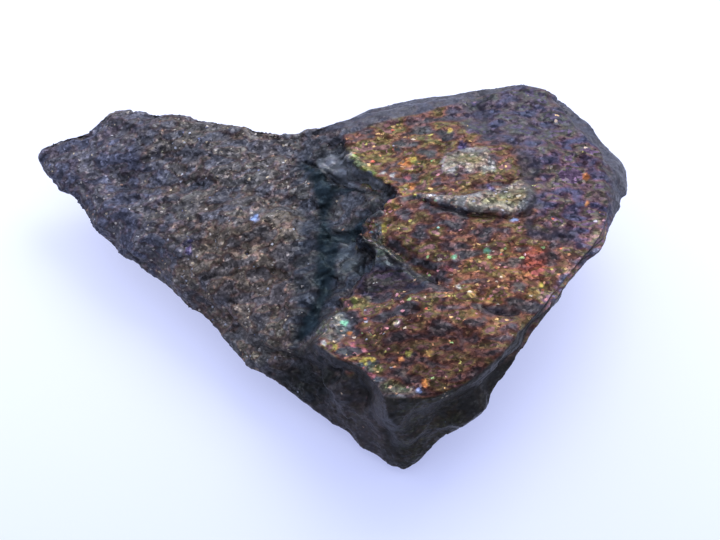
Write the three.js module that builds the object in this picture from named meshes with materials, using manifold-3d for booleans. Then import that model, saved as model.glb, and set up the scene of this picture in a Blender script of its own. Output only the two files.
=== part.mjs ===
/**
 * Peacock ore: a palm-sized chunk of tarnished bornite, in millimetres, +Z up, on a small flat spot.
 *
 * The stone grew as one piece, so it is one closed solid: an even sphere mesh drawn onto the stone. Its
 * sides run from the rim of the top face, over the girth where the stone is widest, to the foot where
 * they turn under. The top face is two surfaces, a grainy arm and a smoother plate, that meet at the
 * plate's broken edge. Cracks, lumps and a thin layer left standing shape it further, the sides have the
 * edges of their broken faces, and grain along the stone's bedding roughens it all.
 * Looking down on it, the arm points to -X, the plate lies towards +X and the tall front corner faces -Y.
 */
import * as THREE from 'three';
import { ImprovedNoise } from 'three/addons/math/ImprovedNoise.js';
import { mergeVertices } from 'three/addons/utils/BufferGeometryUtils.js';
import Module from 'manifold-3d';

const { clamp, lerp, smoothstep, degToRad } = THREE.MathUtils;

// The girth and what lies in from it, anticlockwise from the right. Each station is the widest point's
// x, y and height, then how far the rim above it and the foot below it lie in from it, towards the spine.
const STATIONS = [
  [35, 10.4, 10.5, 3.4, 6], [34.7, 13, 10.5, 3.4, 6], [32.7, 15.3, 11, 3.4, 6], [30, 18.4, 12, 3.2, 6],
  [26.4, 20.8, 13, 1.6, 5], [23.6, 22, 13.5, 2, 5], [19.9, 21.2, 14, 2, 5], [14.4, 20.2, 14, 2.6, 4.5],
  [8.6, 19.1, 14, 2.6, 4], [5.1, 18.3, 13.5, 2.6, 3.5], [1.5, 17, 13, 2.3, 3],
  [-2.5, 16.4, 12, 1.6, 2.6], [-5.3, 15.9, 12, 1.1, 2.4], [-9.3, 16.8, 12, 0.9, 2.6],
  [-15, 18.1, 11.5, 1, 3], [-19.3, 18.9, 11.5, 1.2, 3], [-23, 19.7, 11, 1.2, 3.4],
  [-26.7, 19.8, 10, 1.6, 4], [-28.6, 17.7, 9.5, 1.4, 3], [-31.9, 16.9, 9, 1.2, 3],
  [-34.8, 15.7, 8, 1.4, 5], [-34.6, 15.2, 7.5, 1.2, 4.5], [-31.9, 11.9, 6.8, 1.4, 3],
  [-30, 10.3, 6.2, 1.4, 3], [-28.6, 8, 5.9, 1.6, 3], [-27.5, 6.2, 5.6, 1.8, 2.8],
  [-25, 5.1, 5.4, 1.8, 2.6], [-21.6, 2, 5, 2, 2.8], [-18.7, -0.4, 5, 2, 3], [-15.7, -3.6, 5, 2, 3],
  [-12.8, -7, 5, 2, 3], [-10.5, -9.8, 5, 2.2, 3], [-8.1, -11.6, 4.6, 2, 3],
  [-5.3, -12.8, 4.1, 1.8, 2.6], [-1.8, -15.3, 3.2, 2.4, 2.2], [2.2, -17.9, 2.2, 2.4, 1.8],
  [5.6, -20.9, 1.4, 2.2, 1.6], [7.4, -22.1, 1, 2, 1.6], [8.6, -22.2, 1, 2, 1.8],
  [10.6, -21.8, 2, 1.4, 2], [12.3, -20.8, 4, 0.6, 2.4], [15.5, -19.2, 7, 0.5, 3.4],
  [17.4, -18.2, 8.2, 1, 4], [19.3, -16.4, 9.8, 1, 4.4], [21.3, -14.5, 11, 1.1, 4.6],
  [22.3, -12.8, 11.8, 1.4, 4.6], [24.2, -9.7, 13, 0.4, 4.6], [25.5, -7.8, 13.4, 0.3, 5],
  [28.5, -4, 13.8, 0.4, 5], [31.7, 0.2, 13.8, 0.5, 5.4], [32.7, 2.7, 13.6, 0.8, 5.6],
  [34.2, 6.6, 12, 2.4, 6],
];
const SPINE = [[-24, 12], [-6, 4], [8, -4], [22, 8]];

// Heights of the top face: x, y, z. Between them each surface is a soft average of those nearby.
const LEVEL_SPREAD = 4;
const PLATE_LEVELS = [
  [1, 15.5, 15], [4, 12, 15.8], [8, 15, 16], [14, 12, 16.8], [14, 17, 16.2], [20, 18.5, 16],
  [24, 18, 15.6], [20, 14, 16.6], [17, 7, 17.1], [25, 9, 16.5], [29, 12.5, 15.4], [31, 8, 15.2],
  [30, 3, 15.2], [22, 1, 16.5], [14, 1, 16.9], [8, 5, 16.4], [27, -3, 15], [20, -6, 15.8],
  [12, -6, 15.8], [7, -1, 15.6], [24, -9, 14.5], [17, -13, 15.2], [10, -12, 15.4], [14, -18, 15],
  [8, -18, 14.6], [4, -12, 14.2], [3, -7, 13.6], [0, -12, 12.8],
];
const ARM_LEVELS = [
  [1, 0.4, 11.4], [1, 4.5, 11.8], [0.6, -3.6, 12], [4, -2.6, 14], [0.5, 8, 12.6], [4.4, 5.4, 14],
  [7.4, 4.8, 16], [-5, 3, 13], [-10, 3, 12.6], [-15, 3.5, 11.4], [-6, -5, 11.2], [-1, -8, 11.8],
  [0, -12, 12.4], [1.6, 14.6, 17], [-2.5, 14.5, 13.6], [-2, 11, 12], [-10, 14, 12.6],
  [-17, 16, 12.2], [-23, 17.5, 11.6], [-27, 15.5, 10.6], [-33, 15.3, 8.6], [-28, 11.5, 9.2],
  [-22, 7, 9.6], [-16, -0.5, 8.8], [-10, -2, 11], [-10.5, -7, 7.6], [-5, -10.5, 8.2],
  [-18, 11, 11.2], [-9, 8.5, 12.4], [-3, 6, 11.8], [5, -16, 13],
];

// The outlines of what stands high: the plate, with a beak in its broken left edge, and a thin layer
// left on it.
const PLATE = [
  [-2.5, -14], [-1, -12.6], [0.8, -10], [1.5, -7.5], [3.2, -5.2], [5.4, -3.4], [5.6, -1.9], [3.4, -0.2],
  [3.8, 1.1], [5.1, 2], [6.8, 3.7], [8.1, 4.9], [4.9, 7.3], [2.9, 8.8], [2.2, 11.2], [1.2, 14.8],
  [-1, 18], [40, 40], [40, -40],
];
const LAYER = [
  [10.5, 4.1], [11.8, 2.9], [13.4, 2.5], [16.3, 1.9], [20.4, 1.7], [23.2, 2.9], [23.6, 4.6], [17, 4.4],
];
const LAYER_HEIGHT = 0.5;

// Cracks and valleys: the line that each follows, its depth and its half width.
const CRACKS = [
  { line: [[0.3, 9.1], [2.2, 8.6], [4, 7.6], [6.2, 6.3]], depth: 0.8, width: 0.8 },
  { line: [[3.9, 1], [6.2, -0.7], [8.4, -2.3], [10.6, -4.2], [12.4, -6]], depth: 1.2, width: 1 },
  { line: [[5, -3], [9.5, -5.5]], depth: 1.1, width: 2.4 },
  { line: [[1.2, -9], [3, -11.4], [4.8, -13.5]], depth: 0.5, width: 1.5 },
  { line: [[17.7, 19], [18.1, 15.5], [18.6, 12.8]], depth: 0.6, width: 1.4 },
  { line: [[17.5, -9], [21.5, -9.8]], depth: 0.5, width: 2 },
  { line: [[-25, 11], [-15.8, 9.3], [-8.9, 7.3], [-3, 5.6]], depth: 0.7, width: 2 },
  { line: [[-14.1, -2.4], [-9.8, -2], [-4.5, -3]], depth: 0.5, width: 1.3 },
  { line: [[-2.8, -11], [-1.2, -8.3], [0.7, -4.5]], depth: 1, width: 1.4 },
];

// Lumps of the top face: x, y, radius and height.
const LUMPS = [
  [-0.3, 8.2, 1.8, 1.1], [4.2, 5.2, 2.2, 1.2], [-6.5, 2.5, 4.5, 0.5], [-23, 15.5, 3, 0.5],
  [10, -16, 3, 0.4],
];

// Edges of the broken faces round the sides, and the ledges and hollows between them: each line's
// corners, how far it stands out of the side and its half width.
const SIDE_EDGES = [
  { line: [[7, -20.4, 14.2], [8.9, -21, 7.6], [8.6, -21.8, 2]], height: 0.9, width: 2.6 },
  { line: [[8.9, -21, 7.4], [12.8, -20.4, 7.6], [17, -18.2, 9]], height: 0.8, width: 1.8 },
  { line: [[10.5, -20.8, 10.8], [15.5, -19.2, 11.8], [19, -16, 12.6]], height: -0.6, width: 2.4 },
  { line: [[1.2, -15, 12.5], [1.8, -16.4, 7], [4.6, -19.2, 2]], height: 0.8, width: 2.4 },
  { line: [[-13, -6, 8], [-6, -11.6, 8.2], [-1, -13.8, 9]], height: -0.2, width: 2.2 },
  { line: [[26, -7, 12], [26.5, -5.5, 7], [23, -4, 3]], height: 1, width: 3 },
  { line: [[32, 4.5, 8.5], [30.5, 2.5, 5.5], [27, 2, 2.5]], height: -0.9, width: 3.2 },
  { line: [[30, 17.5, 10], [25, 15, 5], [19, 10, 1.6]], height: 1, width: 3 },
  { line: [[16, 19.4, 10], [15, 18.4, 7], [11, 12.5, 2]], height: -0.9, width: 3.4 },
  { line: [[3, 17.4, 10], [-8, 14.8, 7], [-19, 17, 6.4], [-27, 17, 6]], height: 0.9, width: 2.6 },
  { line: [[-4, 14, 4.6], [-14, 13, 3.4], [-22, 12, 4]], height: -0.7, width: 3 },
  { line: [[-23, 4.4, 4.4], [-14, 0, 1.8], [-4, -6, 0.6]], height: 0.7, width: 2.6 },
];

// The base: a shallow bowl about the flat spot's middle. It starts this far below the floor and rises by
// 1 mm at these distances from the middle.
const SPOT = { x: 6, y: 1, sink: 0.28, right: 11, left: 20, back: 9.5, front: 19 };
const FLOOR = { width: 200, thickness: 10 };

// Grain: the bedding runs a little round from +X, and what roughens the stone is stretched along it.
// Each zone has soft waves and flat-faced grains, with their length, width and height.
const BEDDING_TURN = degToRad(14);
const GRAIN = {
  arm: [
    { shape: softWaves, length: 9, width: 5, height: 0.5 },
    { shape: flatGrains, length: 3.4, width: 2, height: 0.4 },
    { shape: flatGrains, length: 1.8, width: 1.2, height: 0.22 },
  ],
  plate: [
    { shape: softWaves, length: 10, width: 5, height: 0.35 },
    { shape: flatGrains, length: 4.6, width: 1.8, height: 0.2 },
  ],
  sides: [
    { shape: softWaves, length: 15, width: 10, height: 1.1 },
    { shape: flatGrains, length: 9, width: 6.5, height: 1.3 },
    { shape: flatGrains, length: 3.4, width: 2.4, height: 0.4 },
  ],
};
const GRAIN_SCATTER = 0.4; // how far a grain's seed lies from its cell's middle, in cells
const GRAIN_STEP = 0.33; // how far grains stand above one another, as a share of their height
const HASH_PRIMES = [374761393, 668265263, 974634777, 1274126177];
const GIRTH_GRAIN = 0.4; // how much of the sides' grain shows at the girth
const SPOT_GRAIN = 0.15; // how much shows round the flat spot
const SPOT_RIM = 1.5; // height of the base where the spot's calm surroundings end

// The mesh: a sphere of 20 (detail + 1)^2 faces. Its level goes from 0 at its top to 1 at its bottom, and
// these levels are drawn to the rim, the girth and the foot. Corners close to an edge are pulled onto it,
// to keep it crisp.
const SPHERE_DETAIL = 21;
const RIM_LEVEL = 0.5;
const GIRTH_LEVEL = 0.67;
const FOOT_LEVEL = 0.82;
const LEVEL_PULL = 0.012;
const LEDGE_PULL = 0.5;
const CRACK_PULL = 0.35;
const LEDGE_LIP = 0.12; // half the width over which a ledge falls
const SETTLE_ROUNDS = 400;
const UNFOLD_ROUNDS = 60;
const UNFOLD_STEP = 0.25;
const FOLD_AREA = 0.04; // twice the least area in plan of a face of the top or the base
const FOLD_LIMIT = 0.5; // cosine of the furthest that grain may turn a face

const noise = new ImprovedNoise();

/** The point of a line of straight stretches that is nearest to x, y, and how far away it is. */
function nearestOn(line, x, y) {
  let nearest = { away: Infinity };
  for (let i = 0; i + 1 < line.length; i += 1) {
    const [ax, ay] = line[i];
    const [dx, dy] = [line[i + 1][0] - ax, line[i + 1][1] - ay];
    const along = clamp(((x - ax) * dx + (y - ay) * dy) / (dx * dx + dy * dy), 0, 1);
    const [px, py] = [ax + along * dx, ay + along * dy];
    const away = Math.hypot(x - px, y - py);
    if (away < nearest.away) nearest = { x: px, y: py, away };
  }
  return nearest;
}

/** How far a point is from a line of straight stretches in space. */
function distanceTo(line, point) {
  const corners = line.map((corner) => new THREE.Vector3(...corner));
  return Math.min(...corners.slice(1).map((end, i) => {
    const stretch = new THREE.Line3(corners[i], end);
    return stretch.closestPointToPoint(point, true, new THREE.Vector3()).distanceTo(point);
  }));
}

/** Whether x, y is inside an outline. */
function isInside(points, x, y) {
  let inside = false;
  points.forEach(([bx, by], i) => {
    const [ax, ay] = points.at(i - 1);
    if (ay > y !== by > y && x < ax + ((bx - ax) * (y - ay)) / (by - ay)) inside = !inside;
  });
  return inside;
}

const girthLine = new THREE.CatmullRomCurve3(
  STATIONS.map(([x, y, z]) => new THREE.Vector3(x, y, z)),
  true,
  'centripetal',
);

/** The girth at a share of the way round, and the rim and foot that lie in from it. */
function sideAt(turn) {
  const place = girthLine.getUtoTmapping(turn);
  const girth = girthLine.getPoint(place);
  const index = Math.floor(place * STATIONS.length) % STATIONS.length;
  const share = (place * STATIONS.length) % 1;
  const next = STATIONS[(index + 1) % STATIONS.length];
  const spine = nearestOn(SPINE, girth.x, girth.y);
  const inward = (inset) => [
    lerp(girth.x, spine.x, inset / spine.away),
    lerp(girth.y, spine.y, inset / spine.away),
  ];
  return {
    girth,
    rim: inward(lerp(STATIONS[index][3], next[3], share)),
    foot: inward(lerp(STATIONS[index][4], next[4], share)),
  };
}

/** A soft average of the stated heights near a point. */
function levelAt(levels, x, y) {
  let sum = 0;
  let weights = 0;
  for (const [lx, ly, lz] of levels) {
    const away = Math.hypot(x - lx, y - ly) / LEVEL_SPREAD;
    const weight = Math.exp(-away * away);
    sum += weight * lz;
    weights += weight;
  }
  return sum / weights;
}

/** 1 inside an outline that stands high, 0 outside it, changing over its lip. */
function highShare(points, x, y) {
  const { away } = nearestOn([...points, points[0]], x, y);
  return smoothstep(isInside(points, x, y) ? away : -away, -LEDGE_LIP, LEDGE_LIP);
}

/** Height of the top face, before its grain. */
function topHeight(x, y) {
  const plate = levelAt(PLATE_LEVELS, x, y) + LAYER_HEIGHT * highShare(LAYER, x, y);
  let z = lerp(levelAt(ARM_LEVELS, x, y), plate, highShare(PLATE, x, y));
  for (const { line, depth, width } of CRACKS) {
    z -= depth * (1 - smoothstep(nearestOn(line, x, y).away, 0, width));
  }
  for (const [lx, ly, radius, height] of LUMPS) {
    z += height * Math.exp(-(((x - lx) / radius) ** 2) - ((y - ly) / radius) ** 2);
  }
  return z;
}

/** Height of the base, which is cut flat where it falls below the floor. */
function baseHeight(x, y) {
  const along = (x - SPOT.x) / (x > SPOT.x ? SPOT.right : SPOT.left);
  const across = (y - SPOT.y) / (y > SPOT.y ? SPOT.back : SPOT.front);
  return along ** 2 + across ** 2 - SPOT.sink;
}

/** Where x, y goes if it is pulled onto the ledge's lip or the crack's line that it is close to. */
function placeOnEdge(x, y) {
  for (const points of [PLATE, LAYER]) {
    const near = nearestOn([...points, points[0]], x, y);
    if (near.away < LEDGE_PULL) {
      return [lerp(near.x, x, LEDGE_LIP / near.away), lerp(near.y, y, LEDGE_LIP / near.away)];
    }
  }
  for (const { line } of CRACKS) {
    const near = nearestOn(line, x, y);
    if (near.away < CRACK_PULL) return [near.x, near.y];
  }
  return [x, y];
}

/** The three corner numbers of each face of an indexed mesh. */
function facesOf(geometry) {
  const index = geometry.getIndex().array;
  return Array.from({ length: index.length / 3 }, (_, face) => [...index.slice(face * 3, face * 3 + 3)]);
}

/** A corner of the smooth stone: in its place on the sides, otherwise at the rim or foot to start with. */
function cornerAt(direction) {
  let level = (1 - direction.z) / 2;
  for (const edge of [RIM_LEVEL, GIRTH_LEVEL]) {
    if (Math.abs(level - edge) < LEVEL_PULL) level = edge;
  }
  const turn = (Math.atan2(direction.y, direction.x) / (2 * Math.PI) + 1) % 1;
  const { rim, girth, foot } = sideAt(turn);
  const above = new THREE.Vector3(...rim, topHeight(...rim));
  const below = new THREE.Vector3(...foot, baseHeight(...foot));
  const point = level < GIRTH_LEVEL
    ? girth.lerp(above, Math.min(1, (GIRTH_LEVEL - level) / (GIRTH_LEVEL - RIM_LEVEL)))
    : girth.lerp(below, Math.min(1, (level - GIRTH_LEVEL) / (FOOT_LEVEL - GIRTH_LEVEL)));
  const isTop = level < RIM_LEVEL;
  const isBase = level > FOOT_LEVEL;
  return { point, level, isTop, isBase, near: new Set(), faces: [] };
}

/** Moves a corner a share of the way to the middle of others. */
function moveTowards(corner, others, share) {
  const middle = new THREE.Vector3();
  others.forEach(({ point }) => middle.addScaledVector(point, 1 / others.length));
  corner.point.lerp(middle, share);
}

/** Whether a face of the top looks down, or one of the base looks up. */
function isFolded(corners) {
  const [a, b, c] = corners.map(({ point }) => point);
  const turn = (b.x - a.x) * (c.y - a.y) - (b.y - a.y) * (c.x - a.x);
  if (corners.some(({ isTop }) => isTop)) return turn < FOLD_AREA;
  return corners.some(({ isBase }) => isBase) && turn > -FOLD_AREA;
}

/** Settles the corners of the top and the base to the middle of their neighbours. Where the outline is
 *  hollow and that folds faces over it, their corners are drawn further in. */
function settle(corners, faces) {
  const free = corners.filter(({ isTop, isBase }) => isTop || isBase);
  for (let round = 0; round < SETTLE_ROUNDS; round += 1) {
    free.forEach((corner) => moveTowards(corner, [...corner.near], 1));
  }
  for (let round = 0; round < UNFOLD_ROUNDS; round += 1) {
    for (const corner of new Set(faces.filter(isFolded).flat())) {
      const depth = Math.abs(corner.level - GIRTH_LEVEL);
      const furtherIn = [...corner.near].filter(({ level }) => Math.abs(level - GIRTH_LEVEL) > depth);
      if (corner.isTop || corner.isBase) moveTowards(corner, furtherIn, UNFOLD_STEP);
    }
  }
}

/** Pulls a corner of the top onto an edge that it is close to, unless that flattens one of its faces. */
function pullToEdge(corner) {
  const { x, y } = corner.point;
  [corner.point.x, corner.point.y] = placeOnEdge(x, y);
  if (corner.faces.some(isFolded)) [corner.point.x, corner.point.y] = [x, y];
}

/** Gives a sphere the form of the smooth stone, and returns each corner's level. */
function formStone(stone) {
  const position = stone.getAttribute('position');
  const corners = Array.from({ length: position.count }, (_, i) => {
    return cornerAt(new THREE.Vector3().fromBufferAttribute(position, i).normalize());
  });
  const faces = facesOf(stone).map((face) => face.map((i) => corners[i]));
  for (const face of faces) {
    face.forEach((corner, i) => {
      corner.near.add(face[(i + 1) % 3]).add(face[(i + 2) % 3]);
      corner.faces.push(face);
    });
  }
  settle(corners, faces);
  corners.filter(({ isTop }) => isTop).forEach(pullToEdge);
  corners.forEach(({ point, isTop, isBase }, i) => {
    if (isTop) point.z = topHeight(point.x, point.y);
    if (isBase) point.z = baseHeight(point.x, point.y);
    position.setXYZ(i, point.x, point.y, point.z);
  });
  return corners.map(({ level }) => level);
}

/** A random number from -1 to 1 that is always the same for one cell of space. */
function cellRandom(...cell) {
  let hash = cell.reduce((sum, number, i) => sum + Math.imul(number, HASH_PRIMES[i]), 0);
  hash = Math.imul(hash ^ (hash >>> 13), 1103515245);
  hash = Math.imul(hash ^ (hash >>> 15), 2246822519);
  return ((hash ^ (hash >>> 16)) >>> 0) / 2 ** 31 - 1;
}

/** Soft rolling waves, from -1 to 1. */
function softWaves(place) {
  return noise.noise(place.x, place.y, place.z);
}

/** Flat-faced grains: cells about scattered seeds, each a plane with its own tilt and height. */
function flatGrains(place) {
  let nearest = { away: Infinity };
  const [i0, j0, k0] = place.toArray().map(Math.floor);
  for (let i = i0 - 1; i <= i0 + 1; i += 1) {
    for (let j = j0 - 1; j <= j0 + 1; j += 1) {
      for (let k = k0 - 1; k <= k0 + 1; k += 1) {
        const random = [1, 2, 3, 4, 5, 6].map((salt) => cellRandom(i, j, k, salt));
        const seed = new THREE.Vector3(i + 0.5, j + 0.5, k + 0.5);
        seed.addScaledVector(new THREE.Vector3(...random.slice(0, 3)), GRAIN_SCATTER);
        const away = seed.distanceTo(place);
        if (away < nearest.away) nearest = { away, seed, tilt: new THREE.Vector3(...random.slice(3)) };
      }
    }
  }
  return nearest.tilt.dot(place.clone().sub(nearest.seed)) + GRAIN_STEP * nearest.tilt.x;
}

/** How far one zone's grain stands out of the smooth form at a point. */
function grainHeight(waves, point) {
  const [cos, sin] = [Math.cos(BEDDING_TURN), Math.sin(BEDDING_TURN)];
  const along = point.x * cos + point.y * sin;
  const across = point.y * cos - point.x * sin;
  return waves.reduce((sum, { shape, length, width, height }) => {
    return sum + height * shape(new THREE.Vector3(along / length, across / width, point.z / width));
  }, 0);
}

/** How far the edges of the broken faces stand out of the side at a point. */
function edgeHeight(point) {
  return SIDE_EDGES.reduce((sum, { line, height, width }) => {
    return sum + height * (1 - smoothstep(distanceTo(line, point), 0, width));
  }, 0);
}

/** Moves each corner out of the smooth form by its grain and the sides' edges. */
function roughen(stone, levels) {
  stone.computeVertexNormals();
  const position = stone.getAttribute('position');
  const normal = stone.getAttribute('normal');
  for (let i = 0; i < position.count; i += 1) {
    const point = new THREE.Vector3().fromBufferAttribute(position, i);
    const outward = new THREE.Vector3().fromBufferAttribute(normal, i);
    const onPlate = highShare(PLATE, point.x, point.y);
    const top = lerp(grainHeight(GRAIN.arm, point), grainHeight(GRAIN.plate, point), onPlate);
    const toGirth = smoothstep(levels[i], RIM_LEVEL, GIRTH_LEVEL);
    const toFoot = smoothstep(levels[i], GIRTH_LEVEL, FOOT_LEVEL);
    const offEdges = Math.max(4 * toGirth * (1 - toGirth), toFoot);
    const fromSpot = lerp(1, smoothstep(baseHeight(point.x, point.y), 0, SPOT_RIM), toFoot);
    const sideShare = lerp(SPOT_GRAIN, lerp(GIRTH_GRAIN * toGirth, 1, offEdges), fromSpot);
    const side = sideShare * grainHeight(GRAIN.sides, point) + fromSpot * edgeHeight(point);
    point.addScaledVector(outward, (1 - toGirth) * top + side);
    position.setXYZ(i, point.x, point.y, point.z);
  }
}

/** Each face's normal. */
function faceNormals(geometry, faces) {
  const position = geometry.getAttribute('position');
  return faces.map((face) => {
    const corners = face.map((i) => new THREE.Vector3().fromBufferAttribute(position, i));
    return new THREE.Triangle(...corners).getNormal(new THREE.Vector3());
  });
}

/** Eases the grain back to the smooth form wherever it turns a face too far round. */
function unfold(stone, smooth) {
  const [rough, even] = [stone, smooth].map((geometry) => geometry.getAttribute('position'));
  const faces = facesOf(stone);
  const smoothNormals = faceNormals(smooth, faces);
  for (let round = 0; round < UNFOLD_ROUNDS; round += 1) {
    const normals = faceNormals(stone, faces);
    const folded = faces.filter((_, face) => normals[face].dot(smoothNormals[face]) < FOLD_LIMIT);
    for (const i of new Set(folded.flat())) {
      const point = new THREE.Vector3().fromBufferAttribute(rough, i);
      point.lerp(new THREE.Vector3().fromBufferAttribute(even, i), UNFOLD_STEP);
      rough.setXYZ(i, point.x, point.y, point.z);
    }
  }
}

/** A geometry with position alone, its shared corners merged. */
function bare(geometry) {
  const copy = geometry.clone();
  copy.deleteAttribute('normal');
  copy.deleteAttribute('uv');
  return mergeVertices(copy);
}

const wasm = await Module();
wasm.setup();

function toSolid(geometry) {
  const merged = bare(geometry);
  return new wasm.Manifold(new wasm.Mesh({
    numProp: 3,
    vertProperties: merged.getAttribute('position').array,
    triVerts: new Uint32Array(merged.getIndex().array),
  }));
}

function toGeometry(solid) {
  const mesh = solid.getMesh();
  const geometry = new THREE.BufferGeometry();
  geometry.setAttribute('position', new THREE.BufferAttribute(mesh.vertProperties, 3));
  geometry.setIndex(new THREE.BufferAttribute(mesh.triVerts, 1));
  return geometry;
}

/** The stone with its flat spot cut level with the floor and its box centred over the origin. */
function stoneGeometry() {
  const stone = bare(new THREE.IcosahedronGeometry(1, SPHERE_DETAIL));
  const levels = formStone(stone);
  const smooth = stone.clone();
  roughen(stone, levels);
  unfold(stone, smooth);
  const floor = new THREE.BoxGeometry(FLOOR.width, FLOOR.width, FLOOR.thickness);
  floor.translate(0, 0, -FLOOR.thickness / 2);
  const geometry = toGeometry(toSolid(stone).subtract(toSolid(floor)));
  geometry.computeBoundingBox();
  const centre = geometry.boundingBox.getCenter(new THREE.Vector3());
  return geometry.translate(-centre.x, -centre.y, 0);
}

const tarnishedOre = new THREE.MeshStandardMaterial({
  color: 0x6b5348,
  roughness: 0.45,
  metalness: 0.6,
  flatShading: true,
});

const oreChunk = new THREE.Mesh(stoneGeometry(), tarnishedOre);
oreChunk.name = 'ore_chunk';

const peacockOre = new THREE.Group();
peacockOre.add(oreChunk);

export default peacockOre;
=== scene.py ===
"""
Peacock ore: a chunk of tarnished bornite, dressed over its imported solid.

The solid gives the form. Here its mesh is copied, cut fine enough to hold the ore's grain, and roughened
along the bedding: angular grains on the arm, thin flakes on the plate, and calm fracture faces round the
sides. Each point of the stone carries its own look, painted on in plan from named areas, and one material
turns that into grains of tarnished ore.
Lengths are in millimetres until a mesh is made. Looking down on the stone, the arm points to -X, the plate
lies towards +X and the tall front corner faces -Y.
"""

from math import cos, radians, sin

import bmesh
import bpy
import numpy as np
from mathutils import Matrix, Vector


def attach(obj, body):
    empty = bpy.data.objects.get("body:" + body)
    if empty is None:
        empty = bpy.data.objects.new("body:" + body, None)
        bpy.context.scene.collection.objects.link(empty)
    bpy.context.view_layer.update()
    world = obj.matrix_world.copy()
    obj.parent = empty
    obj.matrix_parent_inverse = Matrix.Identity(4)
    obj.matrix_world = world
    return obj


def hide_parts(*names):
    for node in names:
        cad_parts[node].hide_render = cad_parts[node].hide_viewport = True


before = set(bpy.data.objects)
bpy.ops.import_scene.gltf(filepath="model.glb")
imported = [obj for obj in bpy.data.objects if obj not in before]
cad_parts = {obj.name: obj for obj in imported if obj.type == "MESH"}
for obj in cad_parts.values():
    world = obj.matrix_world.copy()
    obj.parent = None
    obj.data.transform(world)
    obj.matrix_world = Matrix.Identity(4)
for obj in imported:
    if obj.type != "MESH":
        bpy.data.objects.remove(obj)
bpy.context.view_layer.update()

MM = 0.001
ARM_TURN, PLATE_TURN = radians(17), radians(3)  # how far the bedding runs round from +X

# ---------------------------------------------------------------- the plan of the stone

# The plan's own zero lies here from the middle of the stone's box.
PLAN_CENTRE = np.array([0.317, -0.417])

# The plate's broken left edge, from its front end up to its back: a beak with a crack under it.
BROKEN_EDGE = [
    (-3.4, -11.6), (-1.4, -9.6), (0.9, -8.2), (2, -6.8), (3.6, -5.4), (5.4, -3.6), (5.6, -2), (3.4, -0.2),
    (3.8, 1.1), (5.1, 2), (6.8, 3.7), (8.1, 4.9), (4.9, 7.1), (2.9, 8.7), (2.2, 11.2), (1.9, 13),
]
# The plate's tarnished face, and the arm's grainy face, drawn out past the stone's own outline. What lies
# in neither is a bevel or a fracture face.
PLATE_FACE = BROKEN_EDGE + [
    (5.1, 14.3), (8.6, 15.4), (12.1, 16.2), (15.6, 17.4), (19.7, 19), (23.4, 20.2), (26.3, 19.8),
    (27.4, 17.2), (29.8, 14.3), (32, 11.6), (32.3, 7.1), (32.5, 3.4), (32, -1.2), (29.4, -5.6),
    (26.6, -8.9), (23.1, -11.7), (20.9, -14.2), (18.4, -16.4), (15.2, -19.2), (11.3, -20.1), (7.5, -20.2),
    (5.7, -19.8), (3.7, -17), (1.7, -15.2), (-1, -12.6),
]
ARM_FACE = BROKEN_EDGE + [
    (-2, 16.2), (-4, 30), (-50, 30), (-50, -26), (3, -26), (3, -17), (1.7, -15.5), (-1, -13),
]

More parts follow.
